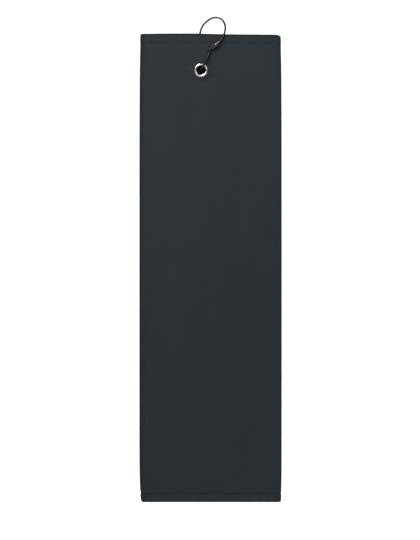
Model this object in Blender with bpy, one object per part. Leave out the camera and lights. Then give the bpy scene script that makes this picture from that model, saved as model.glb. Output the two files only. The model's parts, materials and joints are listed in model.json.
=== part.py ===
"""Golf towel: a sheet of terry velour folded in three, with a two-piece grommet, on a sprung wire hook.

Frame: metres, +Z up, +X to the right of someone facing the towel, -Y towards them.
The origin is where the hook hangs: the underside of the wire at the top of its loop.
The cloth is a Z-fold. The right fold joins the front and middle layers, the left fold the middle and back.
The grommet and the hook hold the front and middle layers. The back layer covers them and is free.
"""

import bmesh
import bpy
from math import cos, pi, radians, sin, sqrt
from mathutils import Matrix, Vector

# Cloth
TOWEL_HEIGHT = 0.5000
FOLDED_WIDTH = 0.1520
CLOTH_THICKNESS = 0.0020
LAYER_GAP = 0.0006
EDGE_INSET = 0.0010  # a free side edge stops this far inside the fold beside it
HEM_HEIGHT = 0.0085
SIDE_HEM_WIDTH = 0.0030
HEM_EXTRA = 0.0003  # a turned hem is this much thicker than the cloth
THREAD_WIDTH = 0.0006
FLAP_TOP = 0.1100  # the grommet holds the front layer down to here, and it opens below
LABEL_WIDTH = 0.0200
LABEL_HEIGHT = 0.0320
LABEL_THICKNESS = 0.0004
LABEL_FROM_EDGE = 0.0220

# Grommet
GROMMET_DROP = 0.0391  # its centre below the towel's top edge
GROMMET_SHIFT = 0.0102  # its centre to the left of the folded towel's middle
BORE_RADIUS = 0.0044
BARREL_WALL = 0.0005
FLANGE_RADIUS = 0.0075
FLANGE_HEIGHT = 0.00125
CURL_RADIUS = 0.0062
CURL_HEIGHT = 0.0008
WASHER_HEIGHT = 0.00055

# Wire hook
WIRE_RADIUS = 0.00075
HOOK_LENGTH = 0.0590  # from the middle of the grommet to the far end of the loop
LOOP_WIDTH = 0.0252  # across the loop, between the middles of the wire
HOOK_LEAN = radians(15.8)
GATE_FOOT = 0.0065  # along the hook from the grommet, where the gate starts to spring
CATCH_WALL = 0.0005
CATCH_PLAY = 0.0003  # round the wire in the catch's bore
SLOT_PLAY = 0.00025  # on each side of the wire in the catch's slot
WIRE_SPACING = 0.0011  # between the points that the wire's tube is drawn through

# Fits
GAP = 0.0003  # between neighbours that touch on the real towel
WIRE_CLEARANCE = 0.0009  # between the wire and the cloth or the grommet
SPRING_GAP = 0.0005  # where the gate turns on the rest of the wire

# What follows from the sizes above
HALF_CLOTH = CLOTH_THICKNESS / 2
HEM_THICKNESS = CLOTH_THICKNESS + HEM_EXTRA
BARREL_RADIUS = BORE_RADIUS + BARREL_WALL
CATCH_BORE = WIRE_RADIUS + CATCH_PLAY
CATCH_RADIUS = CATCH_BORE + CATCH_WALL
CATCH_SLOT = 2 * (WIRE_RADIUS + SLOT_PLAY)

# Depths along Y, with the middle layer's middle at 0
FRONT_LAYER = -CLOTH_THICKNESS - LAYER_GAP
FRONT_FACE = FRONT_LAYER - HALF_CLOTH
FLANGE_FOOT = FRONT_FACE - GAP
FLANGE_CREST = FLANGE_FOOT - FLANGE_HEIGHT
WASHER_FOOT = HALF_CLOTH + GAP
WASHER_TOP = WASHER_FOOT + WASHER_HEIGHT
CURL_FOOT = WASHER_TOP + GAP
CURL_CREST = CURL_FOOT + CURL_HEIGHT
WIRE_BEFORE_CLOTH = FRONT_FACE - WIRE_CLEARANCE - WIRE_RADIUS
WIRE_BEFORE_FLANGE = FLANGE_CREST - GAP - WIRE_RADIUS
WIRE_BEHIND_CLOTH = HALF_CLOTH + WIRE_CLEARANCE + WIRE_RADIUS
WIRE_BEHIND_CURL = CURL_CREST + GAP + WIRE_RADIUS
CATCH_DEPTH = FRONT_FACE - GAP - CATCH_RADIUS
BACK_LAYER = WIRE_BEHIND_CURL + WIRE_RADIUS + GAP + HEM_THICKNESS / 2
LAYER_DEPTHS = {"front": FRONT_LAYER, "middle": 0.0, "back": BACK_LAYER}
RIGHT_FOLD_DEPTH = FRONT_LAYER / 2
RIGHT_FOLD_RADIUS = HALF_CLOTH - RIGHT_FOLD_DEPTH
LEFT_FOLD_DEPTH = BACK_LAYER / 2
LEFT_FOLD_RADIUS = HALF_CLOTH + LEFT_FOLD_DEPTH

ROUND_SEGMENTS = 36


def clear_scene():
    for obj in list(bpy.data.objects):
        bpy.data.objects.remove(obj, do_unlink=True)


def finish_of(name, colour, roughness, metallic=0.0):
    """A Principled material."""
    material = bpy.data.materials.new(name)
    material.use_nodes = True
    shader = material.node_tree.nodes["Principled BSDF"]
    shader.inputs["Base Color"].default_value = (*colour, 1.0)
    shader.inputs["Roughness"].default_value = roughness
    shader.inputs["Metallic"].default_value = metallic
    return material


def add_mesh(name, bm, material, smooth=False):
    """Links a new object that holds the bmesh."""
    mesh = bpy.data.meshes.new(name)
    bmesh.ops.recalc_face_normals(bm, faces=bm.faces)
    bm.to_mesh(mesh)
    bm.free()
    obj = bpy.data.objects.new(name, mesh)
    bpy.context.scene.collection.objects.link(obj)
    if material:
        mesh.materials.append(material)
    if smooth:
        mesh.shade_smooth()
        mesh.set_sharp_from_angle(angle=radians(35))
    return obj


def prism(name, outline, z_low, z_high, material):
    """An outline in X and Y, extruded from z_low to z_high."""
    bm = bmesh.new()
    base = bm.faces.new([bm.verts.new((x, y, z_low)) for x, y in outline])
    top = bmesh.ops.extrude_face_region(bm, geom=[base])["geom"]
    bmesh.ops.translate(
        bm,
        verts=[v for v in top if isinstance(v, bmesh.types.BMVert)],
        vec=(0, 0, z_high - z_low),
    )
    return add_mesh(name, bm, material)


def turned(name, profile, centre, material):
    """A closed profile of (radius, y) points, spun about the Y axis through centre."""
    bm = bmesh.new()
    ring = [bm.verts.new((radius, y, 0.0)) for radius, y in profile]
    edges = [bm.edges.new((ring[i - 1], ring[i])) for i in range(len(ring))]
    bmesh.ops.spin(
        bm,
        geom=ring + edges,
        cent=(0, 0, 0),
        axis=(0, 1, 0),
        angle=2 * pi,
        steps=ROUND_SEGMENTS,
        use_merge=True,
    )
    bmesh.ops.remove_doubles(bm, verts=bm.verts, dist=1e-6)
    bmesh.ops.translate(bm, verts=bm.verts, vec=centre)
    return add_mesh(name, bm, material, smooth=True)


def rod(name, start, end, radius, material=None, segments=20):
    """A round bar between two points."""
    bm = bmesh.new()
    along = end - start
    bmesh.ops.create_cone(
        bm,
        cap_ends=True,
        segments=segments,
        radius1=radius,
        radius2=radius,
        depth=along.length,
    )
    turn = Vector((0, 0, 1)).rotation_difference(along).to_matrix().to_4x4()
    bm.transform(Matrix.Translation((start + end) / 2) @ turn)
    return add_mesh(name, bm, material, smooth=True)


def wire(name, points, material):
    """A tube of the hook's wire along the points."""
    curve = bpy.data.curves.new(name, "CURVE")
    curve.dimensions = "3D"
    curve.bevel_depth = WIRE_RADIUS
    curve.bevel_resolution = 3
    curve.use_fill_caps = True
    spline = curve.splines.new("POLY")
    spline.points.add(len(points) - 1)
    for point, place in zip(spline.points, points):
        point.co = (*place, 1.0)
    curve.materials.append(material)
    obj = bpy.data.objects.new(name, curve)
    bpy.context.scene.collection.objects.link(obj)
    return obj


def cut(obj, cutter):
    """Takes the cutter out of the object, and keeps the cutter as a guide."""
    cutter.hide_render = True
    cutter.display_type = "WIRE"
    boolean = obj.modifiers.new("cut_" + cutter.name, "BOOLEAN")
    boolean.operation = "DIFFERENCE"
    boolean.object = cutter


def axis_empty(name, place):
    """An empty on a joint's axis, for the pieces that turn there."""
    empty = bpy.data.objects.new(name, None)
    empty.empty_display_size = 0.01
    empty.location = place
    bpy.context.scene.collection.objects.link(empty)
    return empty


def carry(empty, pieces):
    """Parents pieces to the empty, with their origins on it."""
    away = Matrix.Translation(-empty.location)
    for piece in pieces:
        piece.data.transform(away)
        piece.parent = empty


# The hook's route: along runs from the grommet to the far end of the loop, across to the right, depth to +Y.


def hook_stations():
    """The wire's bends: from the catch round the loop, through the grommet and up to the gate's tip."""
    reach, half = HOOK_LENGTH, LOOP_WIDTH / 2
    low, high = catch_ends()
    middle = (low + high) / 2
    into = (high - low).normalized()
    fixed_end = middle + into * SPRING_GAP
    gate_tip = middle - into * SPRING_GAP
    front, back = WIRE_BEFORE_CLOTH, WIRE_BEHIND_CLOTH
    return [
        tuple(fixed_end),
        tuple(high + into * WIRE_RADIUS),
        (0.640 * reach, 0.99 * half, front),
        (0.735 * reach, 1.07 * half, front),
        (0.860 * reach, 1.00 * half, front),
        (0.945 * reach, 0.76 * half, 0.86 * front),
        (0.997 * reach, 0.28 * half, 0.36 * front),
        (0.970 * reach, -0.26 * half, 0.10 * back),
        (0.893 * reach, -0.62 * half, 0.86 * back),
        (0.810 * reach, -0.85 * half, back),
        (0.720 * reach, -0.94 * half, back),
        (0.615 * reach, -0.90 * half, back),
        (0.500 * reach, -0.58 * half, back),
        (0.400 * reach, -0.32 * half, back),
        (0.260 * reach, -0.22 * half, WIRE_BEHIND_CURL),
        (FLANGE_RADIUS, -0.12 * half, WIRE_BEHIND_CURL),
        (0.50 * FLANGE_RADIUS, -0.06 * half, 0.98 * WIRE_BEHIND_CURL),
        (0.10 * FLANGE_RADIUS, 0.0, 0.65 * WIRE_BEHIND_CURL),
        (0.0, 0.0, (WIRE_BEHIND_CURL + WIRE_BEFORE_FLANGE) / 2),
        (0.10 * FLANGE_RADIUS, 0.0, 0.75 * WIRE_BEFORE_FLANGE),
        (0.50 * FLANGE_RADIUS, 0.08 * half, 0.99 * WIRE_BEFORE_FLANGE),
        (FLANGE_RADIUS, 0.17 * half, WIRE_BEFORE_FLANGE),
        (0.230 * reach, 0.23 * half, WIRE_BEFORE_FLANGE),
        (0.345 * reach, 0.28 * half, CATCH_DEPTH),
        tuple(low - into * 2 * WIRE_RADIUS),
        tuple(low + into * WIRE_RADIUS),
        tuple(gate_tip),
    ]


def catch_ends():
    """The lower and upper ends of the catch, along, across and in depth."""
    half = LOOP_WIDTH / 2
    return (
        Vector((0.424 * HOOK_LENGTH, 0.337 * half, CATCH_DEPTH)),
        Vector((0.561 * HOOK_LENGTH, 0.817 * half, CATCH_DEPTH)),
    )


def smooth_route(stations):
    """Evenly spaced points on a centripetal Catmull-Rom curve through the stations."""
    knots = [Vector(s) for s in stations]
    knots = [2 * knots[0] - knots[1], *knots, 2 * knots[-1] - knots[-2]]
    fine = []
    for p0, p1, p2, p3 in zip(knots, knots[1:], knots[2:], knots[3:]):
        t1 = sqrt((p1 - p0).length)
        t2 = t1 + sqrt((p2 - p1).length)
        t3 = t2 + sqrt((p3 - p2).length)
        for step in range(24):
            t = t1 + (t2 - t1) * step / 24
            a1 = p0.lerp(p1, t / t1)
            a2 = p1.lerp(p2, (t - t1) / (t2 - t1))
            a3 = p2.lerp(p3, (t - t2) / (t3 - t2))
            b1 = a1.lerp(a2, t / t2)
            b2 = a2.lerp(a3, (t - t1) / (t3 - t1))
            fine.append(b1.lerp(b2, (t - t1) / (t2 - t1)))
    fine.append(knots[-2])
    return spaced(fine, WIRE_SPACING)


def spaced(points, step):
    """The line again, with evenly spaced points."""
    lengths = [0.0]
    for p, q in zip(points, points[1:]):
        lengths.append(lengths[-1] + (q - p).length)
    count = round(lengths[-1] / step)
    result, i = [], 0
    for k in range(count + 1):
        at = lengths[-1] * k / count
        while i < len(points) - 2 and lengths[i + 1] < at:
            i += 1
        share = (at - lengths[i]) / (lengths[i + 1] - lengths[i])
        result.append(points[i].lerp(points[i + 1], share))
    return result


def lean(place):
    """From along, across and depth to X, Y and Z about the grommet's middle."""
    along, across, depth = place
    return Vector(
        (
            along * sin(HOOK_LEAN) + across * cos(HOOK_LEAN),
            depth,
            along * cos(HOOK_LEAN) - across * sin(HOOK_LEAN),
        )
    )


def hook_route():
    """(the wire's points, the grommet's middle), with the underside of the loop's top at the origin."""
    route = [lean(p) for p in smooth_route(hook_stations())]
    top = max(route, key=lambda p: p.z)
    pivot = Vector((-top.x, 0.0, WIRE_RADIUS - top.z))
    return [pivot + p for p in route], pivot


# The cloth's layers.


def beside_fold(y_low, y_high, fold_x, fold_y, fold_radius, outwards):
    """Points from y_low to y_high round a fold's bead, for the end of a layer that meets it."""
    radius, steps, points = fold_radius + GAP, 6, []
    for k in range(steps + 1):
        y = y_low + (y_high - y_low) * k / steps
        points.append((fold_x - outwards * sqrt(radius**2 - (y - fold_y) ** 2), y))
    return points


def layer_outline(layer, thickness, left_x, right_x, side_room=0.0):
    """A layer seen from above. Its free edge, if it has one, stops short by side_room."""
    y_low = LAYER_DEPTHS[layer] - thickness / 2
    y_high = y_low + thickness
    inset = EDGE_INSET + side_room
    if layer == "back":
        right = [(right_x - inset, y_low), (right_x - inset, y_high)]
    else:
        fold_x = right_x - RIGHT_FOLD_RADIUS
        right = beside_fold(y_low, y_high, fold_x, RIGHT_FOLD_DEPTH, RIGHT_FOLD_RADIUS, 1)
    if layer == "front":
        left = [(left_x + inset, y_low), (left_x + inset, y_high)]
    else:
        fold_x = left_x + LEFT_FOLD_RADIUS
        left = beside_fold(y_low, y_high, fold_x, LEFT_FOLD_DEPTH, LEFT_FOLD_RADIUS, -1)
    return right + left[::-1]


def side_strip(layer, near, far, left_x, right_x):
    """The outline of a strip between two distances from the layer's free edge, as thick as a hem."""
    edge, inwards = (right_x - EDGE_INSET, -1) if layer == "back" else (left_x + EDGE_INSET, 1)
    x_near, x_far = edge + inwards * near, edge + inwards * far
    y_low = LAYER_DEPTHS[layer] - HEM_THICKNESS / 2
    y_high = y_low + HEM_THICKNESS
    return [(x_near, y_low), (x_far, y_low), (x_far, y_high), (x_near, y_high)]


def build_side(layer, suffix, left_x, right_x, z_low, z_high, cloth, thread):
    """The free edge's hem and its thread."""
    seam = SIDE_HEM_WIDTH + GAP
    hem = side_strip(layer, 0.0, SIDE_HEM_WIDTH, left_x, right_x)
    stitches = side_strip(layer, seam, seam + THREAD_WIDTH, left_x, right_x)
    return [
        prism(f"{layer}_side_hem{suffix}", hem, z_low, z_high, cloth),
        prism(f"{layer}_side_thread{suffix}", stitches, z_low, z_high, thread),
    ]


def build_layer(layer, left_x, right_x, z_bottom, z_top, z_flap, cloth, thread):
    """(the pieces that the grommet holds, those that open freely, the panel that it goes through)"""
    thick = layer_outline(layer, HEM_THICKNESS, left_x, right_x)
    low_seam = z_bottom + HEM_HEIGHT + GAP
    low_cloth = low_seam + THREAD_WIDTH + GAP
    high_seam = z_top - HEM_HEIGHT - GAP - THREAD_WIDTH
    high_cloth = high_seam - GAP
    low = [
        prism(layer + "_bottom_hem", thick, z_bottom, z_bottom + HEM_HEIGHT, cloth),
        prism(layer + "_bottom_thread", thick, low_seam, low_seam + THREAD_WIDTH, thread),
    ]
    high = [
        prism(layer + "_top_hem", thick, z_top - HEM_HEIGHT, z_top, cloth),
        prism(layer + "_top_thread", thick, high_seam, high_seam + THREAD_WIDTH, thread),
    ]
    if layer == "middle":
        thin = layer_outline(layer, CLOTH_THICKNESS, left_x, right_x)
        panel = prism("middle_panel", thin, low_cloth, high_cloth, cloth)
        return high + low + [panel], [], panel
    side_room = SIDE_HEM_WIDTH + THREAD_WIDTH + 2 * GAP
    thin = layer_outline(layer, CLOTH_THICKNESS, left_x, right_x, side_room)
    if layer == "back":
        panel = prism("back_panel", thin, low_cloth, high_cloth, cloth)
        hems = build_side(layer, "", left_x, right_x, low_cloth, high_cloth, cloth, thread)
        return [], high + low + [panel] + hems, None
    held = prism("front_panel_top", thin, z_flap + GAP, high_cloth, cloth)
    flap = prism("front_panel_flap", thin, low_cloth, z_flap, cloth)
    top_side = build_side(layer, "_top", left_x, right_x, z_flap + GAP, high_cloth, cloth, thread)
    flap_side = build_side(layer, "_flap", left_x, right_x, low_cloth, z_flap, cloth, thread)
    return high + [held] + top_side, low + [flap] + flap_side, held


def build_fold(name, radius, x, y, z_bottom, z_top, cloth):
    """The round edge where the cloth turns back on itself."""
    return rod(name, Vector((x, y, z_bottom)), Vector((x, y, z_top)), radius, cloth, segments=24)


def build_label(left_x, z_bottom, satin):
    """The blank care label, caught in the back layer's bottom hem and lying up against its panel."""
    x_low = left_x + LABEL_FROM_EDGE
    y_low = BACK_LAYER + HEM_THICKNESS / 2 + GAP
    outline = [
        (x_low, y_low),
        (x_low + LABEL_WIDTH, y_low),
        (x_low + LABEL_WIDTH, y_low + LABEL_THICKNESS),
        (x_low, y_low + LABEL_THICKNESS),
    ]
    z_low = z_bottom + HEM_HEIGHT / 2
    return prism("care_label", outline, z_low, z_low + LABEL_HEIGHT, satin)


# The metalwork.


def build_grommet(pivot, nickel):
    """The eyelet, whose barrel curls over behind the cloth, and the washer that it clamps there."""
    foot, crest = FLANGE_FOOT, FLANGE_CREST
    width = FLANGE_RADIUS - BORE_RADIUS
    dome = [
        (FLANGE_RADIUS, foot),
        (FLANGE_RADIUS, foot - 0.35 * FLANGE_HEIGHT),
        (FLANGE_RADIUS - 0.16 * width, foot - 0.78 * FLANGE_HEIGHT),
        (FLANGE_RADIUS - 0.38 * width, crest),
        (FLANGE_RADIUS - 0.60 * width, foot - 0.95 * FLANGE_HEIGHT),
        (FLANGE_RADIUS - 0.84 * width, foot - 0.60 * FLANGE_HEIGHT),
        (BORE_RADIUS, foot),
    ]
    reach = CURL_RADIUS - BORE_RADIUS
    curl = [
        (BORE_RADIUS, CURL_FOOT),
        (BORE_RADIUS + 0.22 * reach, CURL_FOOT + 0.75 * CURL_HEIGHT),
        (BORE_RADIUS + 0.55 * reach, CURL_FOOT + CURL_HEIGHT),
        (BORE_RADIUS + 0.85 * reach, CURL_FOOT + 0.70 * CURL_HEIGHT),
        (CURL_RADIUS, CURL_FOOT),
        (BARREL_RADIUS, CURL_FOOT),
        (BARREL_RADIUS, foot),
    ]
    eyelet = turned("grommet_eyelet", dome + curl, pivot, nickel)
    inner = BARREL_RADIUS + GAP
    rim = CURL_RADIUS + GAP
    ridge = (FLANGE_RADIUS - rim) / 3
    washer = turned(
        "grommet_washer",
        [
            (inner, WASHER_FOOT),
            (FLANGE_RADIUS, WASHER_FOOT),
            (FLANGE_RADIUS, WASHER_TOP - 0.2 * WASHER_HEIGHT),
            (FLANGE_RADIUS - ridge, WASHER_TOP + 0.5 * WASHER_HEIGHT),
            (rim + ridge, WASHER_TOP + 0.5 * WASHER_HEIGHT),
            (rim, WASHER_TOP),
            (inner, WASHER_TOP),
        ],
        pivot,
        nickel,
    )
    return [eyelet, washer]


def build_catch(pivot, steel):
    """A tube on the wire's fixed end, slotted at the front of its lower half to let the gate's tip out."""
    low, high = (pivot + lean(end) for end in catch_ends())
    into = (high - low).normalized()
    catch = rod("hook_catch", low, high, CATCH_RADIUS, steel, segments=16)
    bore = rod(
        "catch_bore_cutter",
        low - into * CATCH_RADIUS,
        high + into * CATCH_RADIUS,
        CATCH_BORE,
        segments=16,
    )
    length = (high - low).length / 2 + CATCH_RADIUS
    bm = bmesh.new()
    bmesh.ops.create_cube(bm, size=1.0)
    bmesh.ops.scale(bm, verts=bm.verts, vec=(CATCH_SLOT, 2 * CATCH_RADIUS, length))
    turn = Vector((0, 0, 1)).rotation_difference(into).to_matrix().to_4x4()
    middle = (low + high) / 2 - into * length / 2
    bm.transform(Matrix.Translation(middle + Vector((0, -CATCH_RADIUS, 0))) @ turn)
    slot = add_mesh("catch_slot_cutter", bm, None)
    cut(catch, bore)
    cut(catch, slot)
    return catch


def build_hook(route, pivot, steel):
    """(the wire that holds, the wire of the gate, the point that the gate turns about)."""
    direction = lean((1.0, 0.0, 0.0))
    last_half = range(len(route) // 2, len(route))
    front = [i for i in last_half if route[i].y < WIRE_BEFORE_CLOTH]
    foot = next(i for i in front if (route[i] - pivot).dot(direction) > GATE_FOOT)
    hinge = route[foot]
    forward = (route[foot + 1] - route[foot - 1]).normalized()
    hold = route[:foot] + [hinge - forward * SPRING_GAP / 2]
    gate = [hinge + forward * SPRING_GAP / 2] + route[foot + 1 :]
    return wire("hook_wire", hold, steel), wire("hook_gate", gate, steel), hinge


def main():
    clear_scene()
    cloth = finish_of("velour", (0.026, 0.032, 0.038), 0.95)
    thread = finish_of("thread", (0.022, 0.027, 0.032), 0.70)
    satin = finish_of("label_satin", (0.75, 0.75, 0.73), 0.55)
    nickel = finish_of("nickel", (0.66, 0.65, 0.63), 0.22, 1.0)
    steel = finish_of("wire_steel", (0.30, 0.30, 0.31), 0.28, 1.0)

    route, pivot = hook_route()
    middle_x = pivot.x + GROMMET_SHIFT
    left_x, right_x = middle_x - FOLDED_WIDTH / 2, middle_x + FOLDED_WIDTH / 2
    z_top = pivot.z + GROMMET_DROP
    z_bottom = z_top - TOWEL_HEIGHT
    z_flap = z_top - FLAP_TOP

    clear_barrel = BARREL_RADIUS + GAP
    before = pivot + Vector((0, 2 * FRONT_FACE, 0))
    behind = pivot - Vector((0, 2 * FRONT_FACE, 0))
    hole = rod("grommet_hole_cutter", before, behind, clear_barrel, segments=32)
    fixed, flaps = [], {}
    for layer in LAYER_DEPTHS:
        held, opening, holed = build_layer(
            layer, left_x, right_x, z_bottom, z_top, z_flap, cloth, thread
        )
        if holed:
            cut(holed, hole)
        fixed += held
        flaps[layer] = opening
    right_axis = Vector((right_x - RIGHT_FOLD_RADIUS, RIGHT_FOLD_DEPTH, z_flap))
    left_axis = Vector((left_x + LEFT_FOLD_RADIUS, LEFT_FOLD_DEPTH, z_flap))
    for name, radius, axis in (
        ("right_fold", RIGHT_FOLD_RADIUS, right_axis),
        ("left_fold", LEFT_FOLD_RADIUS, left_axis),
    ):
        fixed.append(build_fold(name, radius, axis.x, axis.y, z_bottom, z_top, cloth))
    flaps["back"].append(build_label(left_x, z_bottom, satin))
    fixed += build_grommet(pivot, nickel)

    build_catch(pivot, steel)
    _, gate, hinge = build_hook(route, pivot, steel)

    carry(axis_empty("towel_swing_axis", pivot), fixed)
    carry(axis_empty("front_flap_axis", right_axis), flaps["front"])
    carry(axis_empty("back_layer_axis", left_axis), flaps["back"])
    carry(axis_empty("gate_axis", hinge), [gate])


main()
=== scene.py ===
"""Golf towel on a wire hook: the cloth, its stitching and the metalwork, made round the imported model.

Everything is in metres in the model's own frame: +Z up, -Y out of the towel's front.
"""

import json
import random
from math import atan, copysign, cos, exp, hypot, pi, radians, sin, sqrt

import bmesh
import bpy
from mathutils import Matrix, Vector, noise


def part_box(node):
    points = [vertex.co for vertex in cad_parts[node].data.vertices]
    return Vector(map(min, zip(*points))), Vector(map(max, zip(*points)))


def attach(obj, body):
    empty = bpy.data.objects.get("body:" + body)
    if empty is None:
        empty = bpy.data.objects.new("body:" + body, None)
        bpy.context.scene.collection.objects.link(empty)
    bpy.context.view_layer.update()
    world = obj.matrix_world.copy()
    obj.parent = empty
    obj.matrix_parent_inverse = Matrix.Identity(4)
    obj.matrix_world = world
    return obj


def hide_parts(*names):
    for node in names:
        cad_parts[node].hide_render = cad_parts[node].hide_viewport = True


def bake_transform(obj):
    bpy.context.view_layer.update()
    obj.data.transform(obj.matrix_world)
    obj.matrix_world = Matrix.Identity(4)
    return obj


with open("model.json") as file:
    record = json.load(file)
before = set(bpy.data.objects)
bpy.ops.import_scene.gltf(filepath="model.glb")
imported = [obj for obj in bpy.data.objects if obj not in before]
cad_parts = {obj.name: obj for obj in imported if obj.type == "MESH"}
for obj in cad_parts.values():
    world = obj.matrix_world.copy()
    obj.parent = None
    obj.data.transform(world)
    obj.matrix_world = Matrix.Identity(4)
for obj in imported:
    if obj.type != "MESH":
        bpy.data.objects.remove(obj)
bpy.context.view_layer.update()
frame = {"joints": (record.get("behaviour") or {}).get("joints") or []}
random.seed(7)

JOINTS = {joint["name"]: joint for joint in frame["joints"]}
MM = 0.001


# ---------------------------------------------------------------- places that the model gives


def low(node, axis):
    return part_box(node)[0][axis]


def high(node, axis):
    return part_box(node)[1][axis]


def middle(node, axis):
    return (low(node, axis) + high(node, axis)) / 2


X, Y, Z = 0, 1, 2
TOP, BOTTOM = high("front_top_hem", Z), low("front_bottom_hem", Z)
LEFT, RIGHT = low("left_fold", X), high("right_fold", X)
GROMMET = Vector(JOINTS["towel_swing"]["pos_m"])
RIGHT_AXIS = Vector(JOINTS["front_flap_open"]["pos_m"])
LEFT_AXIS = Vector(JOINTS["back_layer_open"]["pos_m"])
FRONT, MIDDLE, BACK = (middle(n, Y) for n in ("front_panel_flap", "middle_panel", "back_panel"))


# ---------------------------------------------------------------- shader maths


class Shade:
    """A shader socket that Python's operators work on, one Math node for each."""

    def __init__(self, tree, socket):
        self.tree = tree
        self.socket = socket

    def maths(self, operation, *others, clamp=False):
        node = self.tree.nodes.new("ShaderNodeMath")
        node.operation = operation
        node.use_clamp = clamp
        for socket, value in zip(node.inputs, (self, *others)):
            plug(self.tree, socket, value)
        return Shade(self.tree, node.outputs[0])

    def __add__(self, other):
        return self.maths("ADD", other)

    def __sub__(self, other):
        return self.maths("SUBTRACT", other)

    def __mul__(self, other):
        return self.maths("MULTIPLY", other)

    def __truediv__(self, other):
        return self.maths("DIVIDE", other)

    def __rsub__(self, other):
        return (self * -1.0) + other

    __radd__ = __add__
    __rmul__ = __mul__

    def clamped(self):
        return self.maths("ADD", 0.0, clamp=True)


def plug(tree, socket, value):
    if isinstance(value, Shade):
        tree.links.new(value.socket, socket)
    else:
        socket.default_value = value


class Finish:
    """A material with a Principled shader, and a short way to add nodes to it."""

    def __init__(self, name, **constants):
        self.material = bpy.data.materials.new(name)
        self.material.use_nodes = True
        self.tree = self.material.node_tree
        self.shader = self.tree.nodes["Principled BSDF"]
        self.set(**constants)

    def set(self, **values):
        """Sets or links the shader's sockets, whose names have _ for each space."""
        for name, value in values.items():
            plug(self.tree, self.shader.inputs[name.replace("_", " ")], value)

    def node(self, kind, output=0, settings=None, numbered=None, **inputs):
        """A new node. Its settings come first, then its sockets' values or links, by number or name."""
        node = self.tree.nodes.new("ShaderNode" + kind)
        for name, value in (settings or {}).items():
            setattr(node, name, value)
        for number, value in (numbered or {}).items():
            plug(self.tree, node.inputs[number], value)
        for name, value in inputs.items():
            plug(self.tree, node.inputs[name.replace("_", " ")], value)
        return Shade(self.tree, node.outputs[output])

    def place(self, scale=(1.0, 1.0, 1.0)):
        """Object coordinates, scaled."""
        return self.node("Mapping", Vector=self.node("TexCoord", output="Object"), Scale=scale)

    def fuzz(self, scale, detail=2.0, stretch=(1.0, 1.0, 1.0)):
        """Noise from 0 to 1."""
        return self.node("TexNoise", Vector=self.place(scale=stretch), Scale=scale, Detail=detail)

    def ribs(self, direction, scale, distortion):
        """Waves from 0 to 1, along X or Z or on the diagonal."""
        bands = {"bands_direction": direction}
        return self.node("TexWave", settings=bands, Vector=self.place(), Scale=scale, Distortion=distortion)

    def cells(self, scale, randomness, stretch=(1.0, 1.0, 1.0)):
        """The distance from the middle of the nearest cell."""
        where = self.place(scale=stretch)
        return self.node("TexVoronoi", Vector=where, Scale=scale, Randomness=randomness)

    def attribute(self, name):
        """A number that the mesh keeps at each vertex."""
        return self.node("Attribute", output="Fac", settings={"attribute_name": name})

    def mix(self, share, colour_a, colour_b):
        """From one colour to the other. A Mix node has its colours at these numbers."""
        sockets = {0: share, 6: colour_a, 7: colour_b}
        return self.node("Mix", output=2, settings={"data_type": "RGBA"}, numbered=sockets)

    def bumps(self, *layers):
        """Bump nodes in a row, one for each (height, distance in metres)."""
        normal = None
        for height, distance in layers:
            links = {"Height": height, "Distance": distance}
            if normal:
                links["Normal"] = normal
            normal = self.node("Bump", **links)
        self.set(Normal=normal)


def grey(value):
    return (value, value, value, 1.0)


def tint(colour, amount):
    return (*(channel * amount for channel in colour), 1.0)


# ---------------------------------------------------------------- finishes

CLOTH_BLUE_GREY = (0.0164, 0.0207, 0.0245)


def velour_finish():
    """Cut pile on the face, uncut loops on the reverse, with painted shade along the seams and edges, and a
    painted highlight on the bottom hem's ridge.
    """
    finish = Finish("velour")
    finish.set(Sheen_Weight=0.03, Sheen_Roughness=0.45, Sheen_Tint=(0.75, 0.85, 1.0, 1.0))
    finish.set(Specular_IOR_Level=0.10)
    loops = finish.attribute("loops")
    # seam and edge carry painted shade from the mesh: darker at the stitch lines, edges and fold sides, and
    # a painted highlight where seam is below 0 on the bottom hem's ridge.
    seam = finish.attribute("seam")
    edge = finish.attribute("edge")
    pile = finish.fuzz(2600, detail=3)
    tufts = finish.fuzz(900, detail=2)
    brushed = finish.fuzz(34, detail=3, stretch=(1.0, 1.0, 0.35))
    patches = finish.fuzz(9, detail=2)
    rows = finish.ribs("X", 260.0, 1.2)
    curls = finish.cells(720.0, 0.75, stretch=(1.0, 1.0, 0.62))
    pile_tone = 0.56 + 0.46 * pile + 0.28 * tufts + 0.18 * brushed + 0.10 * patches
    loop_tone = 1.22 - 0.55 * curls + 0.10 * patches
    tone = pile_tone + loops * (loop_tone - pile_tone)
    # Painted shade along the seam lines and at the edges, and a painted highlight on the bottom hem's
    # ridge.
    tone = tone * (1.0 - 0.50 * seam) * (1.0 - 0.92 * edge) * (0.965 + 0.07 * rows)
    dark, pale = tint(CLOTH_BLUE_GREY, 0.25), tint(CLOTH_BLUE_GREY, 1.75)
    finish.set(Base_Color=finish.mix((tone - 0.25) / 1.5, dark, pale))
    finish.set(Roughness=(0.86 + 0.12 * tufts).clamped())
    pile_height = pile * 0.45 + tufts * 0.55 + rows * 0.10
    loop_height = 1.0 - curls * 1.3
    height = pile_height + loops * (loop_height - pile_height)
    finish.bumps((brushed, 0.0006), (height, 0.0006))
    return finish.material


def thread_finish():
    """Polyester thread: two plies twisted together, a little shinier than the pile."""
    finish = Finish("thread", Specular_IOR_Level=0.4)
    plies = finish.ribs("DIAGONAL", 900.0, 0.4)
    tone = 0.8 + 0.35 * plies + 0.1 * finish.fuzz(1500)
    finish.set(Base_Color=finish.mix(tone - 0.5, grey(0.006), (0.030, 0.037, 0.044, 1.0)))
    finish.set(Roughness=0.45 + 0.2 * plies)
    finish.bumps((plies, 0.00012))
    return finish.material


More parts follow.
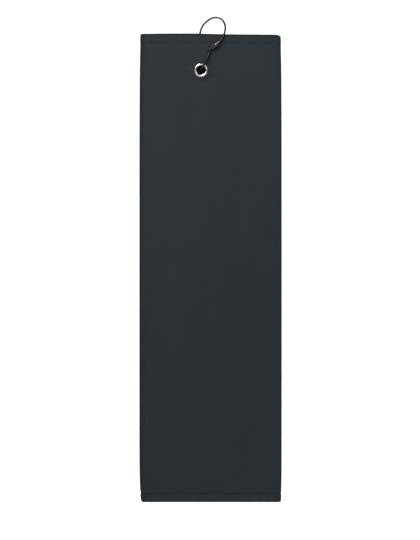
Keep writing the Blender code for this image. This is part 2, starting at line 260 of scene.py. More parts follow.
def satin_finish():
    """The label's white satin weave."""
    finish = Finish("label_satin", Sheen_Weight=0.2)
    weave = finish.ribs("X", 1100.0, 0.5) * 0.6 + finish.ribs("Z", 1500.0, 0.5) * 0.4
    soil = finish.fuzz(120, detail=4)
    dull, clean = (0.60, 0.60, 0.57, 1.0), (0.80, 0.80, 0.78, 1.0)
    finish.set(Base_Color=finish.mix(weave * 0.5 + soil * 0.5, dull, clean))
    finish.set(Roughness=0.42 + 0.2 * weave)
    finish.bumps((weave, 0.00008))
    return finish.material


def plated_finish(name, pale, dark, roughness, scratches, brush=(1.0, 1.0, 1.0)):
    """Plated metal: fine drawn or tumbled lines, small pits, and a duller film in patches."""
    finish = Finish(name, Metallic=1.0)
    lines = finish.fuzz(1400, detail=4, stretch=brush)
    film = finish.fuzz(160, detail=3)
    pits = finish.cells(900.0, 1.0)
    worn = (film * 1.6 - 0.45).clamped()
    finish.set(Base_Color=finish.mix(worn, (*dark, 1.0), (*pale, 1.0)))
    finish.set(Roughness=(roughness + 0.16 * (1.0 - worn) + 0.08 * lines).clamped())
    finish.bumps((lines, scratches), ((pits * 4.0).clamped(), scratches * 0.6))
    return finish.material


VELOUR = velour_finish()
THREAD = thread_finish()
SATIN = satin_finish()
NICKEL = plated_finish("nickel", (0.77, 0.77, 0.79), (0.48, 0.48, 0.50), 0.12, 0.00001)
WIRE_STEEL = plated_finish(
    "wire_steel", (0.046, 0.046, 0.049), (0.022, 0.022, 0.024), 0.22, 0.00001, brush=(1.0, 1.0, 0.15)
)
CATCH_STEEL = plated_finish(
    "catch_steel", (0.12, 0.12, 0.12), (0.07, 0.07, 0.07), 0.20, 0.00001, brush=(0.5, 1.0, 0.25)
)


# ---------------------------------------------------------------- meshes


def finished(name, bm, material, smooth_angle=50):
    """A mesh object made from the bmesh, in the material."""
    bmesh.ops.recalc_face_normals(bm, faces=bm.faces)
    mesh = bpy.data.meshes.new(name)
    bm.to_mesh(mesh)
    bm.free()
    mesh.materials.append(material)
    mesh.shade_smooth()
    if smooth_angle:
        mesh.set_sharp_from_angle(angle=radians(smooth_angle))
    obj = bpy.data.objects.new(name, mesh)
    bpy.context.scene.collection.objects.link(obj)
    return obj


def smooth(value, start, end):
    """0 before start, 1 after end, and an even curve between them."""
    share = min(max((value - start) / (end - start), 0.0), 1.0)
    return share * share * (3 - 2 * share)


def hump(value, centre, width):
    return exp(-(((value - centre) / width) ** 2))


# ---------------------------------------------------------------- the cloth's shape

CLOTH_HALF = 1.0 * MM
HEM_BULGE = 0.30 * MM  # what a turned hem adds to each face
HEM_HEIGHT = high("front_bottom_hem", Z) - BOTTOM
SEAM_GAP = 0.55 * MM  # from a hem's turned edge to its row of stitches
SEAM = HEM_HEIGHT + SEAM_GAP
SIDE_HEM = high("back_side_hem", X) - low("back_side_hem", X)
SIDE_SEAM = SIDE_HEM + SEAM_GAP
SEAM_DEPTH = 0.65 * MM
SOFT_SEAM = 0.22  # how deep the top and side seams sink, and how dark their painted shade is, next to the bottom one
SEAM_WIDTH = 0.75 * MM
EDGE_ROUND = 1.3 * MM
EDGE_SHADE = 1.0 * MM
FREE_INSET = low("front_bottom_hem", X) - LEFT
TOP_CREST = GROMMET.x - 6 * MM  # the top edge stands highest here, above the grommet
TOP_DROOP = 1.45 * MM
SIDE_PULL_TOP = 1.3 * MM
SIDE_PULL_BOTTOM = 1.8 * MM
UNEVEN_PULL = 0.3  # how much more the left side is drawn in at the bottom, and the right side less
CORNER_DROP = 1.3 * MM  # at the rounded top right corner
WAVE = 0.9 * MM
HOLE = 5.1 * MM  # in the cloth, for the grommet's barrel
COARSE, FINE, FINEST = 2.8 * MM, 0.6 * MM, 0.3 * MM  # mesh steps on open cloth, at hems and at edges
HEM_REACH, SIDE_REACH = 11.5 * MM, 6 * MM  # how far in from an edge the mesh is fine
GROMMET_REACH = 16 * MM  # out to here the mesh is fine and the front layer does not twist


def settle(x, z):
    """Where a point of the flat towel comes to lie, seen from the front, as its hems draw it in."""
    down, up = TOP - z, z - BOTTOM
    centre = (LEFT + RIGHT) / 2
    out = (x - centre) / ((RIGHT - LEFT) / 2)
    at_bottom = SIDE_PULL_BOTTOM * (1 - copysign(UNEVEN_PULL, out)) * exp(-up / (13 * MM))
    pull = SIDE_PULL_TOP * exp(-down / (35 * MM)) + at_bottom
    new_x = x - pull * out * abs(out)
    if x > TOP_CREST:
        droop = TOP_DROOP * (1 - exp(-(x - TOP_CREST) / (43 * MM)))
    else:
        droop = 0.36 * MM * ((TOP_CREST - x) / (56 * MM)) ** 2
    corner = CORNER_DROP * smooth(x, RIGHT - 6 * MM, RIGHT) ** 2
    return new_x, z - (droop + corner) * exp(-down / (40 * MM))


def wave(x, z):
    """How far the stack of layers stands back from flat. It is flat where the left fold has to open."""
    near_hook = smooth(hypot(x - GROMMET.x - 8 * MM, z - GROMMET.z - 16 * MM), 30 * MM, 75 * MM)
    broad = noise.noise(Vector((x * 9, 0.3, z * 7)))
    small = noise.noise(Vector((x * 31, 4.2, z * 17)))
    lean = (TOP - z) / (TOP - BOTTOM)
    off_fold = smooth(x - LEFT, 5 * MM, 40 * MM)
    return WAVE * near_hook * off_fold * (0.9 * broad + 0.35 * small + 0.3 * lean)


def gathered(x, z):
    """How far the cloth puffs up round the pressed grommet, with shallow puckers out from it."""
    dx, dz = x - GROMMET.x, z - GROMMET.z
    radius = hypot(dx, dz)
    if radius > 40 * MM:
        return 0.0
    around = Vector((dx, dz)).angle_signed(Vector((1, 0))) if radius else 0.0
    pucker = 0.5 + 0.5 * cos(7 * around + 3 * sin(2 * around))
    puff = 1.05 * MM * hump(radius, 8.6 * MM, 2.3 * MM)
    return puff - 0.35 * MM * pucker * hump(radius, 14 * MM, 6 * MM)


class Layer:
    """One of the towel's three layers. Its free side ends in a hem, and any other side in a fold."""

    def __init__(self, name, depth, left, right, free_side, loops_face):
        self.name = name
        self.depth = depth
        self.left = left
        self.right = right
        self.free_side = free_side
        self.loops_face = loops_face

    def from_free_edge(self, x):
        """The distance from the layer's free edge, or 1 m where it has none."""
        if self.free_side == "left":
            return x - self.left
        if self.free_side == "right":
            return self.right - x
        return 1.0

    def half_thickness(self, x, z):
        """Hems swell, stitch lines pull in, and edges are round."""
        swell, pull = 0.0, 0.0
        ends = (
            (TOP - z, HEM_HEIGHT, SEAM, SOFT_SEAM),
            (z - BOTTOM, HEM_HEIGHT, SEAM, 1.0),
            (self.from_free_edge(x), SIDE_HEM, SIDE_SEAM, SOFT_SEAM),
        )
        for distance, hem, seam, firm in ends:
            swell = max(swell, 1 - smooth(distance, hem - 0.4 * MM, seam + 1.2 * MM))
            pull = max(pull, firm * hump(distance, seam, SEAM_WIDTH))
        half = CLOTH_HALF + HEM_BULGE * swell - SEAM_DEPTH * pull
        share = min(max(self.from_edge(x, z), 0.0) / EDGE_ROUND, 1.0)
        return half * max(sqrt(1 - (1 - share) ** 2), 0.12)

    def from_edge(self, x, z):
        return min(TOP - z, z - BOTTOM, self.from_free_edge(x))

    def painted_seam_shading(self, x, z):
        """The seams' painted shade at a point. It is below 0 on the bottom hem's ridge, where it paints a
        highlight.
        """
        soft = max(hump(TOP - z, SEAM, 0.6 * MM), hump(self.from_free_edge(x), SIDE_SEAM, 0.6 * MM))
        # Painted highlight on the bottom hem's ridge, where light from above falls on it.
        ridge_highlight = 0.28 * hump(z - BOTTOM, HEM_HEIGHT / 2, 2.4 * MM)
        return max(SOFT_SEAM * soft, hump(z - BOTTOM, SEAM, 0.8 * MM)) - ridge_highlight

    def painted_edge_shade(self, x, z):
        """The painted shade at the edges: 1 at an edge, and next to nothing a few millimetres in."""
        return exp(-self.from_edge(x, z) / EDGE_SHADE)

    def nest(self, x, z):
        """How far the layer's middle lies from its own depth. Here it stays at its depth; the back layer
        closes up the gap.
        """
        return 0.0

    def place(self, x, z, face):
        """The settled place of a point on the layer's front (face is -1) or its back (face is 1)."""
        new_x, new_z = settle(x, z)
        half = self.half_thickness(x, z)
        y = self.depth + self.nest(x, z) + face * half + wave(x, z)
        if self.name == "front" and face < 0:
            y -= gathered(x, z)
        if self.name == "middle" and face > 0:
            y += 0.6 * gathered(x, z)
        return Vector((new_x, y, new_z))


class BackLayer(Layer):
    """The back layer bulges over the grommet and the hook, and lies in towards the middle elsewhere."""

    def nest(self, x, z):
        beside = max(abs(x - GROMMET.x - 3 * MM) - 12 * MM, 0.0)
        below = max(GROMMET.z - 8 * MM - z, 0.0)
        from_hook = hypot(beside, below)
        closes = smooth(from_hook, 4 * MM, 60 * MM)
        leaves_fold = smooth(x - self.left, 0.0, 55 * MM)
        return -2.9 * MM * closes * leaves_fold


LAYERS = {
    "front": Layer("front", FRONT, LEFT + FREE_INSET, RIGHT_AXIS.x, "left", 1),
    "middle": Layer("middle", MIDDLE, LEFT_AXIS.x, RIGHT_AXIS.x, None, -1),
    "back": BackLayer("back", BACK, LEFT_AXIS.x, RIGHT - FREE_INSET, "right", 1),
}


def stops(start, end, marks, coarse):
    """Places from start to end: near each (mark, reach, step) by its step, and coarse elsewhere."""
    result = [start]
    while result[-1] < end - 1e-7:
        here = result[-1]
        step = coarse
        for mark, reach, fine in marks:
            if abs(here - mark) <= reach:
                step = min(step, fine)
            elif here < mark - reach:
                step = min(step, mark - reach - here + 1e-6)
        result.append(min(here + step, end))
    return result


END_MARKS = [
    (end, reach, step)
    for end in (TOP, BOTTOM)
    for reach, step in ((HEM_REACH, FINE), (EDGE_ROUND, FINEST))
]
FOLD_ROWS = stops(BOTTOM, TOP, END_MARKS, COARSE)
FOLD_STEPS = 20


def raise_faces(bm, faces, first=False):
    """Extrudes a region of faces, leaving none of them inside, and gives the faces at its new end."""
    edges = {e for f in faces for e in f.edges}
    raised = bmesh.ops.extrude_face_region(bm, geom=[*faces, *edges], use_keep_orig=first)["geom"]
    return [f for f in raised if isinstance(f, bmesh.types.BMFace)]


def raise_strip(bm, rows):
    """Raises the strip that the bmesh holds through the rows."""
    strip = list(bm.faces)
    for i, z in enumerate(rows[1:]):
        strip = raise_faces(bm, strip, first=(i == 0))
        for vert in {v for f in strip for v in f.verts}:
            vert.co.z = z


def sheet_mesh(layer, columns, rows):
    """The layer as a slab: an edge drawn out into a strip, which is raised row by row and settled."""
    bm = bmesh.new()
    pair = [bm.verts.new((columns[0], face, rows[0])) for face in (-1, 1)]
    edge = bm.edges.new(pair)
    for x in columns[1:]:
        drawn = bmesh.ops.extrude_edge_only(bm, edges=[edge])["geom"]
        edge = next(e for e in drawn if isinstance(e, bmesh.types.BMEdge) and is_new(e, drawn))
        for vert in edge.verts:
            vert.co.x = x
    raise_strip(bm, rows)
    paint_and_settle(bm, layer)
    return bm


def is_new(edge, geom):
    """Whether both of the edge's ends are among the drawn-out vertices."""
    verts = {v for v in geom if isinstance(v, bmesh.types.BMVert)}
    return all(v in verts for v in edge.verts)


def paint_and_settle(bm, layer):
    """Stores what the finish reads, then moves each vertex from its flat place to its settled one."""
    loops = bm.verts.layers.float.new("loops")
    seam = bm.verts.layers.float.new("seam")
    edge = bm.verts.layers.float.new("edge")
    for vert in bm.verts:
        x, face, z = vert.co
        vert[loops] = 1.0 if face == layer.loops_face else 0.0
        # seam holds painted shade at the stitch lines and a painted highlight on the bottom hem's ridge;
        # edge holds painted shade at the edges.
        vert[seam] = layer.painted_seam_shading(x, z)
        vert[edge] = layer.painted_edge_shade(x, z)
        vert.co = layer.place(x, z, face)


def grommet_hole(obj):
    """Cuts the grommet's hole through the cloth."""
    bm = bmesh.new()
    bmesh.ops.create_cone(
        bm, cap_ends=True, segments=48, radius1=HOLE, radius2=HOLE, depth=30 * MM,
        matrix=Matrix.Translation(GROMMET) @ Matrix.Rotation(radians(90), 4, "X"),
    )
    mesh = bpy.data.meshes.new("hole_cutter")
    bm.to_mesh(mesh)
    bm.free()
    cutter = bpy.data.objects.new("hole_cutter", mesh)
    bpy.context.scene.collection.objects.link(cutter)
    boolean = obj.modifiers.new("hole", "BOOLEAN")
    boolean.operation = "DIFFERENCE"
    boolean.object = cutter
    evaluated = obj.evaluated_get(bpy.context.evaluated_depsgraph_get())
    holed = bpy.data.meshes.new_from_object(evaluated)
    obj.modifiers.clear()
    obj.data = holed
    bpy.data.objects.remove(cutter)


def cloth(name):
    """The cloth of one layer. The back one has no grommet in it."""
    layer = LAYERS[name]
    pierced = name != "back"
    column_marks, row_marks = [], list(END_MARKS)
    if layer.free_side:
        edge = layer.left if layer.free_side == "left" else layer.right
        column_marks += [(edge, SIDE_REACH, FINE), (edge, EDGE_ROUND, FINEST)]
    if pierced:
        column_marks.append((GROMMET.x, GROMMET_REACH, 1.0 * MM))
        row_marks.append((GROMMET.z, GROMMET_REACH, 1.0 * MM))
    columns = stops(layer.left, layer.right, column_marks, COARSE)
    rows = stops(BOTTOM, TOP, row_marks, COARSE)
    obj = finished(name + "_cloth", sheet_mesh(layer, columns, rows), VELOUR)
    if pierced:
        grommet_hole(obj)
    return obj


def fold_cloth(name, centre, start_angle, turn, inner, outer):
    """Cloth turned round a fold: an edge spun about the fold's axis, the strip raised, then settled."""
    bm = bmesh.new()
    along = Vector((cos(start_angle), sin(start_angle), 0))
    base = Vector((centre.x, centre.y, BOTTOM))
    pair = [bm.verts.new(base + along * radius) for radius in (inner, outer)]
    edge = bm.edges.new(pair)
    bmesh.ops.spin(
        bm, geom=[*pair, edge], cent=base, axis=(0, 0, 1), angle=turn, steps=FOLD_STEPS,
        use_merge=turn == 2 * pi,
    )
    raise_strip(bm, FOLD_ROWS)
    settle_fold(bm, centre, (inner + outer) / 2)
    return finished(name, bm, VELOUR)


def settle_fold(bm, centre, mid_radius):
    """Swells the fold's cloth at the hems, and settles it with the layers that it joins."""
    bm.verts.layers.float.new("loops")  # 0 all over: both folds are drawn with the pile
    seam = bm.verts.layers.float.new("seam")
    edge = bm.verts.layers.float.new("edge")
    layer = LAYERS["middle"]
    for vert in bm.verts:
        z = vert.co.z
        vert[seam] = layer.painted_seam_shading(centre.x, z)
        away = Vector((vert.co.x - centre.x, vert.co.y - centre.y))
        outward_shade = max(away.x * (1 if centre.x > GROMMET.x else -1) / away.length, 0.0)
        # Painted shade at the edges, and on the side of the fold that faces outward, away from the light.
        vert[edge] = max(layer.painted_edge_shade(centre.x, z), 0.6 * outward_shade**3)
        change = layer.half_thickness(centre.x, z) - CLOTH_HALF
        sign = 1 if away.length > mid_radius else -1
        away *= (away.length + sign * change) / away.length
        x, y = centre.x + away.x, centre.y + away.y
        new_x, new_z = settle(x, z)
        vert.co = (new_x, y + wave(centre.x, z), new_z)


# ---------------------------------------------------------------- sewing

STITCH_PITCH = 2.7 * MM
STITCH_HALF = 1.15 * MM
THREAD_RADIUS = 0.24 * MM
THREAD_PROUD = 0.15 * MM
ROW_INSET = 1.5 * MM  # from a free edge to the ends of the rows that run to it


def one_stitch():
    """A stitch of unit size along X."""
    bm = bmesh.new()
    bmesh.ops.create_uvsphere(
        bm, u_segments=6, v_segments=7, radius=1.0, matrix=Matrix.Rotation(radians(90), 4, "Y")
    )
    mesh = bpy.data.meshes.new("stitch")
    bm.to_mesh(mesh)
    bm.free()
    return mesh


STITCH = one_stitch()


def stitches(name, layer, ends):
    """A row of lockstitch between two points of the flat layer, on both its faces."""
    (x0, z0), (x1, z1) = ends
    count = round(hypot(x1 - x0, z1 - z0) / STITCH_PITCH)
    bm = bmesh.new()
    for face in (-1, 1):
        for k in range(count):
            here, there = (
                layer.place(x0 + (x1 - x0) * share, z0 + (z1 - z0) * share, face)
                for share in (k / count, (k + 1) / count)
            )
            along = (there - here).normalized()
            out = (Vector((0, face, 0)) - along * along.y * face).normalized()
            side = along.cross(out)
            length = STITCH_HALF * random.uniform(0.94, 1.06)
            swing = random.uniform(-0.06, 0.06)
            lie = along * cos(swing) + side * sin(swing)
            across = side * cos(swing) - along * sin(swing)
            turned_to = Matrix((lie * length, across * THREAD_RADIUS, out * THREAD_RADIUS)).transposed()
            spot = (here + there) / 2 + out * THREAD_PROUD
            copy = STITCH.copy()
            copy.transform(Matrix.Translation(spot) @ turned_to.to_4x4())
            bm.from_mesh(copy)
            bpy.data.meshes.remove(copy)
    return finished(name, bm, THREAD, smooth_angle=None)


def hem_rows(layer):
    """The ends of the layer's rows of stitches, by the hem that they hold."""
    left = layer.left + (ROW_INSET if layer.free_side == "left" else 0)
    right = layer.right - (ROW_INSET if layer.free_side == "right" else 0)
    rows = {
        "top": ((left, TOP - SEAM), (right, TOP - SEAM)),
        "bottom": ((left, BOTTOM + SEAM), (right, BOTTOM + SEAM)),
    }
    if layer.free_side:
        x = layer.left + SIDE_SEAM if layer.free_side == "left" else layer.right - SIDE_SEAM
        rows["side"] = ((x, BOTTOM + SEAM), (x, TOP - SEAM))
    return rows


def care_label():
    """A blank satin label, sewn in at the back layer's bottom hem and curling a little off the cloth."""
    layer = LAYERS["back"]
    left, right = low("care_label", X), high("care_label", X)
    base, tip = low("care_label", Z), high("care_label", Z)
    bm = bmesh.new()
    bmesh.ops.create_grid(bm, x_segments=14, y_segments=48, size=0.5)
    for vert in bm.verts:
        x = left + (right - left) * (vert.co.x + 0.5)
        up = vert.co.y + 0.5
        z = base + (tip - base) * up
        spot = layer.place(x, z, 1)
        curl = 1.6 * MM * up**2.5 + 0.25 * MM * sin(9 * up + 60 * (x - left)) * up
        sewn = 0.35 * MM * hump(z, BOTTOM + SEAM, 0.8 * MM)
        vert.co = spot + Vector((0, 0.30 * MM + curl - sewn, 0))
    bmesh.ops.recalc_face_normals(bm, faces=bm.faces)
    bmesh.ops.solidify(bm, geom=bm.faces, thickness=0.32 * MM)
    return finished("label", bm, SATIN)


# ---------------------------------------------------------------- the grommet

BORE = 4.4 * MM
BARREL = 4.9 * MM
CURL = 6.2 * MM
RIM = (high("grommet_eyelet", X) - low("grommet_eyelet", X)) / 2
DOME = 6.1 * MM  # where the rim stands highest
QUARTER_STEPS = 8


def quarter(centre, size, start, straight=1.0):
    """A quarter of an ellipse, from the start angle in degrees. Over 1, straight makes it flatter."""
    points = []
    for k in range(QUARTER_STEPS + 1):
        angle = radians(start + 90 * k / QUARTER_STEPS)
        across = copysign(abs(cos(angle)) ** straight, cos(angle))
        up = copysign(abs(sin(angle)) ** straight, sin(angle))
        points.append((centre[0] + across * size[0], centre[1] + up * size[1]))
    return points


def turned(name, profile, material):
    """A closed profile of (radius, depth) points, spun round the grommet's axis."""
    bm = bmesh.new()
    verts = [bm.verts.new((GROMMET.x + radius, depth, GROMMET.z)) for radius, depth in profile]
    edges = [bm.edges.new((verts[i - 1], verts[i])) for i in range(len(verts))]
    bmesh.ops.spin(
        bm, geom=verts + edges, cent=(GROMMET.x, 0, GROMMET.z), axis=(0, 1, 0), angle=2 * pi,
        steps=96, use_merge=True,
    )
    bmesh.ops.remove_doubles(bm, verts=bm.verts, dist=1e-6)
    return finished(name, bm, material, smooth_angle=40)


def eyelet():
    """The flanged eyelet: a domed rim in front, its barrel, and the lip that is curled over behind."""
    crest, lip = low("grommet_eyelet", Y), high("grommet_eyelet", Y)
    foot = FRONT - CLOTH_HALF - 0.3 * MM
    curl_foot = lip - 0.8 * MM
    throat = foot + 0.4 * MM
    mid = (BORE + CURL) / 2
    profile = [(RIM - 0.25 * MM, foot + 0.1 * MM)]
    profile += quarter((DOME, foot), (RIM - DOME, crest - foot), 0, straight=1.35)
    profile += quarter((DOME, throat), (DOME - BORE, crest - throat), 90, straight=1.25)[1:]
    profile += [(BORE, curl_foot - 0.6 * MM)]
    profile += quarter((mid, curl_foot), (BORE - mid, lip - curl_foot), 0)[1:]
    profile += quarter((mid, curl_foot), (BORE - mid, lip - curl_foot), 90)[1:]
    profile += [(BARREL, curl_foot), (BARREL, foot + 0.1 * MM)]
    return turned("eyelet", profile, NICKEL)


def washer():
    """The washer behind the cloth, dished a little and rounded at its rim."""
    foot, crest = low("grommet_washer", Y), high("grommet_washer", Y)
    round_off = 0.3 * MM
    inner, step = BARREL + 0.3 * MM, CURL + 0.3 * MM
    dish = CURL + 0.65 * MM
    seat = foot + 0.55 * MM
    profile = [(inner, foot)]
    profile += quarter((RIM - round_off, foot + round_off), (round_off, -round_off), 0)[::-1]
    profile += quarter((dish, foot + round_off), (RIM - dish, crest - foot - round_off), 0)[1:]
    profile += [(step, crest - 0.12 * MM), (step, seat), (inner, seat)]
    return turned("washer", profile, NICKEL)


# ---------------------------------------------------------------- the hook

WIRE = 0.75 * MM
WIRE_LOOK = 0.95 * MM  # drawn a little thicker than the model has it, to read as darkly as the real one
WIRE_STEP = 0.35 * MM
HOOK_LENGTH = 59 * MM  # from the bore's middle to the far end of the loop
HALF_LOOP = 12.6 * MM  # half its width, near enough: the stations below are shares of these two
HOOK_LEAN = radians(15.8)
SPRING_GAP = 0.5 * MM
CATCH_WALL = 0.5 * MM
CATCH_RADIUS = 1.55 * MM
CLOTH_FRONT = FRONT - CLOTH_HALF
BEFORE_CLOTH = CLOTH_FRONT - 0.9 * MM - WIRE
BEFORE_FLANGE = low("grommet_eyelet", Y) - 0.3 * MM - WIRE_LOOK
BEHIND_CLOTH = MIDDLE + CLOTH_HALF + 0.9 * MM + WIRE
BEHIND_CURL = high("grommet_eyelet", Y) + 0.3 * MM + WIRE_LOOK
CATCH_DEPTH = CLOTH_FRONT - 0.3 * MM - CATCH_RADIUS
CATCH_LOW = Vector((0.424 * HOOK_LENGTH, 0.337 * HALF_LOOP, CATCH_DEPTH))
CATCH_HIGH = Vector((0.561 * HOOK_LENGTH, 0.817 * HALF_LOOP, CATCH_DEPTH))
IN_BORE = (BEHIND_CURL + BEFORE_FLANGE) / 2  # the depth at which the hook's two strands meet
SLOT = radians(36)  # half the opening in the catch's lower part


def leaning(place):
    """From the hook's own along, across and depth to the frame."""
    along, across, depth = place
    x = along * sin(HOOK_LEAN) + across * cos(HOOK_LEAN)
    z = along * cos(HOOK_LEAN) - across * sin(HOOK_LEAN)
    return GROMMET + Vector((x, depth, z))


def loop_stations():
    """The wire's bends from its fixed end in the catch, round the loop and down behind to the bore."""
    reach, half = HOOK_LENGTH, HALF_LOOP
    into = (CATCH_HIGH - CATCH_LOW).normalized()
    front, back = BEFORE_CLOTH, BEHIND_CLOTH
    return [
        (CATCH_LOW + CATCH_HIGH) / 2 + into * SPRING_GAP,
        CATCH_HIGH + into * WIRE,
        (0.640 * reach, 0.99 * half, front),
        (0.735 * reach, 1.07 * half, front),
        (0.860 * reach, 1.00 * half, front),
        (0.945 * reach, 0.76 * half, 0.86 * front),
        (0.997 * reach, 0.28 * half, 0.36 * front),
        (0.970 * reach, -0.26 * half, 0.10 * back),
        (0.893 * reach, -0.62 * half, 0.86 * back),
        (0.810 * reach, -0.85 * half, back),
        (0.720 * reach, -0.94 * half, back),
        (0.615 * reach, -0.90 * half, back),
        (0.500 * reach, -0.58 * half, back),
        (0.400 * reach, -0.32 * half, back),
        (0.260 * reach, -0.22 * half, BEHIND_CURL),
        (RIM, -0.12 * half, BEHIND_CURL),
        (0.50 * RIM, -0.06 * half, 0.98 * BEHIND_CURL),
        (0.10 * RIM, 0.0, 0.65 * BEHIND_CURL),
        (0.0, 0.0, IN_BORE),
    ]


def gate_stations():
    """The wire's bends from the bore, out over the flange and up to the gate's tip in the catch."""
    reach, half = HOOK_LENGTH, HALF_LOOP
    into = (CATCH_HIGH - CATCH_LOW).normalized()
    return [
        (0.0, 0.0, IN_BORE),
        (0.10 * RIM, 0.0, 0.75 * BEFORE_FLANGE),
        (0.50 * RIM, 0.08 * half, 0.99 * BEFORE_FLANGE),
        (RIM, 0.17 * half, BEFORE_FLANGE),
        (0.230 * reach, 0.23 * half, BEFORE_FLANGE),
        (0.345 * reach, 0.28 * half, CATCH_DEPTH),
        CATCH_LOW - into * 2 * WIRE,
        CATCH_LOW + into * WIRE,
        (CATCH_LOW + CATCH_HIGH) / 2 - into * SPRING_GAP,
    ]


def smooth_route(stations):
    """Points on a centripetal Catmull-Rom curve through the stations."""
    knots = [leaning(s) for s in stations]
    knots = [2 * knots[0] - knots[1], *knots, 2 * knots[-1] - knots[-2]]
    points = []
    for p0, p1, p2, p3 in zip(knots, knots[1:], knots[2:], knots[3:]):
        t1 = sqrt((p1 - p0).length)
        t2 = t1 + sqrt((p2 - p1).length)
        t3 = t2 + sqrt((p3 - p2).length)
        count = max(round((p2 - p1).length / WIRE_STEP), 3)
        for k in range(count):
            t = t1 + (t2 - t1) * k / count
            a1 = p0.lerp(p1, t / t1)
            a2 = p1.lerp(p2, (t - t1) / (t2 - t1))
            a3 = p2.lerp(p3, (t - t2) / (t3 - t2))
            b1 = a1.lerp(a2, t / t2)
            b2 = a2.lerp(a3, (t - t1) / (t3 - t1))
            points.append(b1.lerp(b2, (t - t1) / (t2 - t1)))
    points.append(knots[-2])
    return points


def wire(name, points):
    """A round wire: a ring drawn along the points and turned with them, with both ends rounded."""
    bm = bmesh.new()
    heading = (points[1] - points[0]).normalized()
    upright = Vector((0, 0, 1)).rotation_difference(heading).to_matrix().to_4x4()
    bmesh.ops.create_circle(
        bm, cap_ends=True, segments=18, radius=WIRE_LOOK, matrix=Matrix.Translation(points[0]) @ upright
    )
    cap = list(bm.faces)
    for i, (here, there) in enumerate(zip(points, points[1:])):
        cap = raise_faces(bm, cap, first=(i == 0))
        ring = list(cap[0].verts)
        beyond = points[min(i + 2, len(points) - 1)]
        new_heading = (beyond - here).normalized()
        turn = heading.rotation_difference(new_heading).to_matrix()
        bmesh.ops.rotate(bm, verts=ring, cent=here, matrix=turn)
        bmesh.ops.translate(bm, verts=ring, vec=there - here)
        heading = new_heading
    rims = [e for e in bm.edges if sum(len(f.verts) > 4 for f in e.link_faces) == 1]
    bmesh.ops.bevel(
        bm, geom=rims, offset=0.25 * MM, affect="EDGES", segments=3, profile=0.5, material=-1
    )
    return finished(name, bm, WIRE_STEEL, smooth_angle=60)


def catch():
    """A strip of steel rolled round the wire: closed and crimped above, and open in front below."""
    bm = bmesh.new()
    bmesh.ops.create_grid(bm, x_segments=26, y_segments=40, size=0.5)
    axis = leaning(CATCH_HIGH) - leaning(CATCH_LOW)
    side = axis.normalized().cross(Vector((0, -1, 0)))
    for vert in bm.verts:
        share = vert.co.y + 0.5
        opening = radians(5) + SLOT * (1 - smooth(share, 0.46, 0.60))
        angle = opening + (2 * pi - 2 * opening) * (vert.co.x + 0.5)
        crimp = 1 - 0.10 * (hump(share, 0.72, 0.05) + hump(share, 0.88, 0.05))
        flare = 1 + 0.10 * hump(share, 0.0, 0.06)
        radius = CATCH_RADIUS * crimp * flare
        out = Vector((0, -1, 0)) * cos(angle) + side * sin(angle)
        vert.co = leaning(CATCH_LOW) + axis * share + out * radius
    obj = finished("catch", bm, CATCH_STEEL, smooth_angle=45)
    # The modifiers give the strip its wall and take off the sharp edges.
    wall = obj.modifiers.new("wall", "SOLIDIFY")
    wall.thickness = CATCH_WALL
    wall.offset = -1
    rounding = obj.modifiers.new("rounding", "BEVEL")
    rounding.width = 0.1 * MM
    rounding.segments = 2
    return obj


# ---------------------------------------------------------------- putting it together

front, back_cloth = cloth("front"), cloth("back")
middle_cloth = cloth("middle")

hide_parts("front_panel_top", "front_top_hem", "front_side_hem_top")
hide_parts("front_panel_flap", "front_bottom_hem", "front_side_hem_flap")
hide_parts("middle_panel", "middle_top_hem", "middle_bottom_hem")
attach(middle_cloth, "towel")
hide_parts("back_panel", "back_top_hem", "back_bottom_hem", "back_side_hem")
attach(back_cloth, "back_layer")


def twist(piece):
    """Bakes the front layer's piece into its mesh where it lies."""
    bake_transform(piece)


twist(front)

right_turn = fold_cloth("right_turn", RIGHT_AXIS, 0.0, 2 * pi, 0.35 * MM, RIGHT - RIGHT_AXIS.x)
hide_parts("right_fold")
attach(right_turn, "towel")

bend = (BACK - MIDDLE) / 2
left_turn = fold_cloth("left_turn", LEFT_AXIS, -pi / 2, -pi, bend - CLOTH_HALF, bend + CLOTH_HALF)
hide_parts("left_fold")
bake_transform(left_turn)

sewing = {name: [] for name in LAYERS}
for name, layer in LAYERS.items():
    for hem, ends in hem_rows(layer).items():
        row = stitches(f"{name}_{hem}_stitches", layer, ends)
        sewing[name].append(row)
        if name == "front" and hem == "side":
            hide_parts("front_side_thread_top", "front_side_thread_flap")
            twist(row)
            continue
        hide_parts(f"{name}_{hem}_thread")
        if name == "front":
            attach(row, "towel" if hem == "top" else "front_flap")
        else:
            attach(row, "towel" if name == "middle" else "back_layer")

label = care_label()
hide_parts("care_label")
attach(label, "back_layer")

for piece, node in ((eyelet(), "grommet_eyelet"), (washer(), "grommet_washer")):
    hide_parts(node)
    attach(piece, "towel")

loop = wire("hook_loop", smooth_route(loop_stations()))
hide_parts("hook_wire")
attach(loop, "hook")
crimped = catch()
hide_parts("hook_catch")
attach(crimped, "hook")
gate = wire("gate", smooth_route(gate_stations()))
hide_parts("hook_gate")
bend_start, bend_end = (tuple(leaning((share * RIM, 0, 0))) for share in (0.3, 2.0))
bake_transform(gate)


# ---------------------------------------------------------------- floor, lights and camera


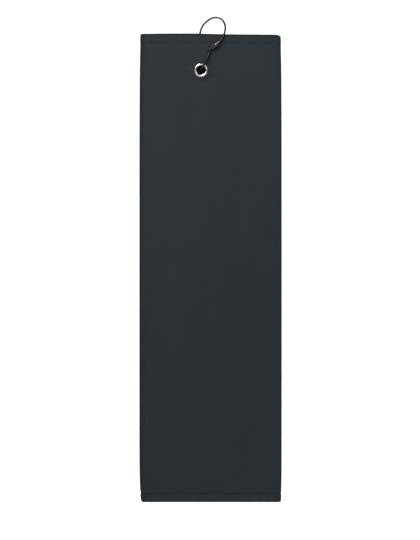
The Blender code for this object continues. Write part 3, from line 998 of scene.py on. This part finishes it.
def studio():
    """A pale floor that sweeps up into a wall behind. It glows as painted light, faintly on the floor under
    the towel and fully further back and on the wall.
    """
    floor, wall, sweep, width = BOTTOM - 0.13, 3.2, 1.0, 8.0
    profile = [(-3.5, floor), (wall - sweep, floor)]
    for angle in range(6, 91, 6):
        turn = radians(angle)
        profile.append((wall - sweep + sweep * sin(turn), floor + sweep - sweep * cos(turn)))
    profile.append((wall, 3.5))
    bm = bmesh.new()
    verts = [bm.verts.new((-width / 2, y, z)) for y, z in profile]
    edges = [bm.edges.new(pair) for pair in zip(verts, verts[1:])]
    drawn = bmesh.ops.extrude_edge_only(bm, edges=edges)["geom"]
    far_side = [v for v in drawn if isinstance(v, bmesh.types.BMVert)]
    bmesh.ops.translate(bm, verts=far_side, vec=(width, 0, 0))
    # The paper glows: painted light in place of lamps on the backdrop, faint on the floor near the towel
    # and full further back and on the wall.
    paper = Finish("glowing_studio_paper", Roughness=0.9, Specular_IOR_Level=0.1, Emission_Strength=0.41)
    depth = paper.node("SeparateXYZ", output="Y", Vector=paper.place())
    paper.set(Base_Color=paper.mix(paper.fuzz(40), grey(0.90), grey(0.93)))
    paper.set(Emission_Color=paper.mix(((depth - 0.1) * 1.6).clamped(), grey(0.06), grey(1.0)))
    mesh = bpy.data.meshes.new("studio")
    bmesh.ops.recalc_face_normals(bm, faces=bm.faces)
    bm.to_mesh(mesh)
    bm.free()
    mesh.materials.append(paper.material)
    mesh.shade_smooth()
    obj = bpy.data.objects.new("studio", mesh)
    bpy.context.scene.collection.objects.link(obj)


def soft_box(name, place, aim, size, power):
    """A square area light that faces a point."""
    data = bpy.data.lights.new(name, "AREA")
    data.shape = "SQUARE"
    data.size = size
    data.energy = power
    obj = bpy.data.objects.new(name, data)
    bpy.context.scene.collection.objects.link(obj)
    obj.location = place
    obj.rotation_euler = (Vector(aim) - Vector(place)).to_track_quat("-Z", "Y").to_euler()


def sky(strength):
    world = bpy.data.worlds.new("studio_air")
    world.use_nodes = True
    world.node_tree.nodes["Background"].inputs["Color"].default_value = (1.0, 1.0, 1.0, 1.0)
    world.node_tree.nodes["Background"].inputs["Strength"].default_value = strength
    bpy.context.scene.world = world


def camera(centre, distance, view_height):
    """Looks straight at the towel's front."""
    data = bpy.data.cameras.new("camera")
    data.sensor_fit = "VERTICAL"
    data.angle = 2 * atan(view_height / 2 / distance)
    obj = bpy.data.objects.new("camera", data)
    bpy.context.scene.collection.objects.link(obj)
    obj.location = (centre[0], -distance, centre[1])
    obj.rotation_euler = (radians(90), 0, 0)
    bpy.context.scene.camera = obj


studio()
hang = Vector((0, 0, (TOP + BOTTOM) / 2))
soft_box("key", (-0.50, -0.85, 0.80), hang, 0.7, 27)
soft_box("fill", (1.1, -1.1, 0.6), hang, 1.0, 6.5)
soft_box("wall_wash", (0.0, 1.0, 2.4), (0, 2.8, -0.4), 2.0, 27)
sky(0.11)
bpy.context.scene.view_settings.view_transform = "Standard"
camera(centre=(-0.00565, -0.2688), distance=2.5, view_height=0.5767)
